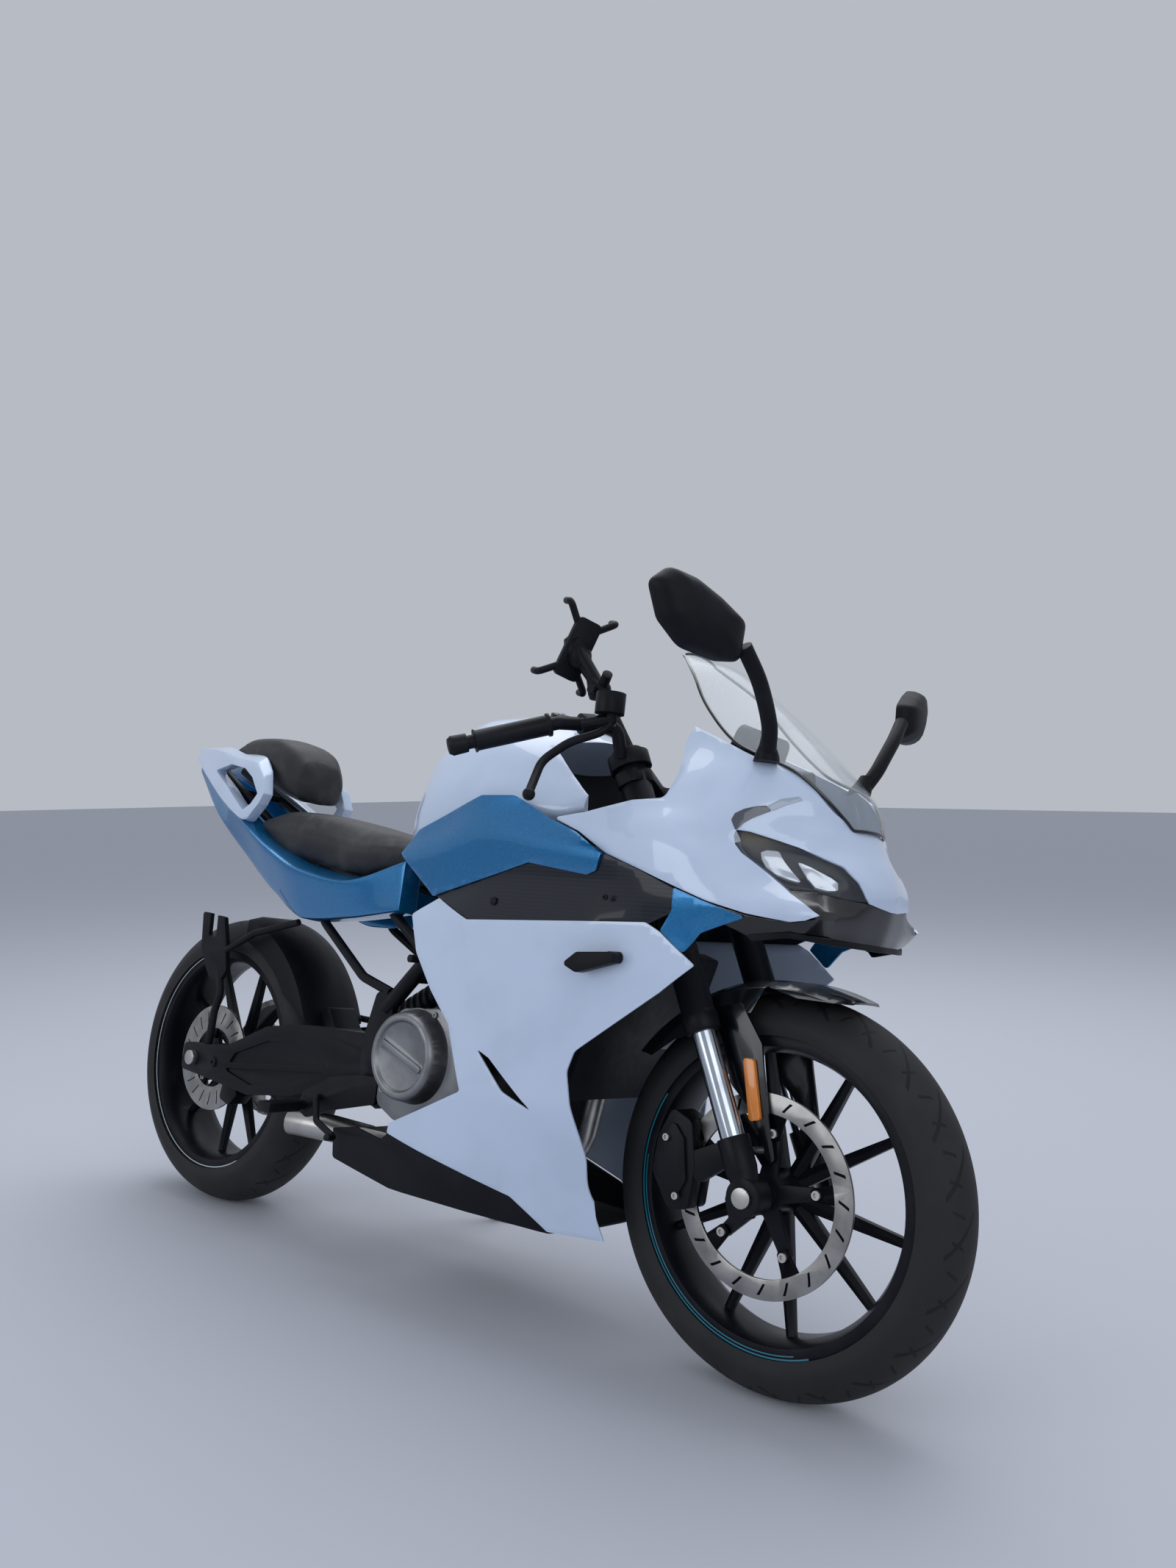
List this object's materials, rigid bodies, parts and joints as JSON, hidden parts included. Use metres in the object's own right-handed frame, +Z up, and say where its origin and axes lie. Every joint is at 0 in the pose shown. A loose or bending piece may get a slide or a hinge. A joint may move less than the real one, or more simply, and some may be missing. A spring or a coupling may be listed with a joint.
{
  "type": "sport bike",
  "caption": "Fully faired sport bike with clip-on bars, low screen and cast wheels, parked leaning on its side stand.",
  "frame": {"origin": "middle of the bounding box on the floor that the bike stands on", "axes": "+X forward along the bike, +Y to its left, +Z up; the bike leans 10 degrees to its left on its side stand"},
  "size_m": [1.9529, 0.8306, 1.2359],
  "materials": {
    "white_paint": "gloss white paint",
    "blue_paint": "metallic blue paint",
    "carbon_trim": "woven carbon look under lacquer",
    "black_plastic": "moulded, satin",
    "black_metal": "satin powder coat",
    "black_wheel": "satin black",
    "engine_metal": "cast, dark grey paint",
    "cover_metal": "cast and machined, silver grey",
    "steel": "brushed",
    "chrome": "polished",
    "tyre_rubber": "road tyre",
    "seat_cover": "grained vinyl",
    "clear_screen": "clear, moulded",
    "lamp_lens": "clear lens over dark bowls",
    "red_lens": "moulded red lens",
    "amber_lens": "moulded amber reflector"
  },
  "bodies": {
    "chassis": {"main_frame": "black_metal", "subframe": "black_metal", "engine_block": "engine_metal", "clutch_cover": "cover_metal", "left_covers": "cover_metal", "radiator": "engine_metal", "exhaust": "steel", "swingarm": "black_metal", "rear_axle": "steel", "rear_shock": "black_metal", "chain": "steel", "front_sprocket": "steel", "fuel_tank": "white_paint", "side_panel_right": "blue_paint", "side_panel_left": "blue_paint", "side_insert_right": "carbon_trim", "side_insert_left": "carbon_trim", "lower_fairing_right": "white_paint", "lower_fairing_left": "white_paint", "belly_pan": "black_plastic", "upper_cowl": "white_paint", "headlamps": "lamp_lens", "chin_intake": "black_plastic", "windscreen": "clear_screen", "cockpit_panel": "black_plastic", "mirror_right": "black_plastic", "mirror_left": "black_plastic", "indicators": "black_plastic", "tail_wings": "white_paint", "tail_cover": "blue_paint", "rider_seat": "seat_cover", "pillion_seat": "seat_cover", "tail_lamp": "red_lens", "rear_hugger": "black_plastic", "footpegs": "black_metal", "rear_caliper": "black_metal", "stand_pin": "steel"},
    "steering": {"triple_clamps": "black_metal", "fork_outer_tubes": "black_metal", "fork_stanchions": "chrome", "fork_feet": "black_metal", "front_axle": "steel", "handlebars": "black_metal", "levers": "black_metal", "front_mudguard": "black_plastic", "reflectors": "amber_lens", "front_caliper": "black_metal", "phone_holder": "black_plastic"},
    "front_wheel": {"front_tyre": "tyre_rubber", "front_rim": "black_wheel", "front_disc": "steel"},
    "rear_wheel": {"rear_tyre": "tyre_rubber", "rear_rim": "black_wheel", "rear_disc": "steel", "rear_sprocket": "steel"},
    "side_stand": {"side_stand": "black_metal"}
  },
  "joints": [
    {"name": "steering", "type": "hinge", "parent": "chassis", "child": "steering", "pos_m": [0.44005, -0.0641, 0.71493], "axis": [-0.4224, 0.1574, 0.8926], "range_deg": [-28, 28]},
    {"name": "front_wheel_spin", "type": "hinge", "parent": "steering", "child": "front_wheel", "pos_m": [0.68306, -0.13912, 0.2894], "axis": [0, 0.9848, -0.1736], "continuous": true},
    {"name": "rear_wheel_spin", "type": "hinge", "parent": "chassis", "child": "rear_wheel", "pos_m": [-0.67694, -0.13791, 0.29657], "axis": [0, 0.9848, -0.1736], "continuous": true},
    {"name": "stand_fold", "type": "hinge", "parent": "chassis", "child": "side_stand", "pos_m": [-0.19896, 0.01058, 0.19414], "axis": [0.1321, 0.8724, 0.4707], "range_deg": [0, 107]}
  ]
}
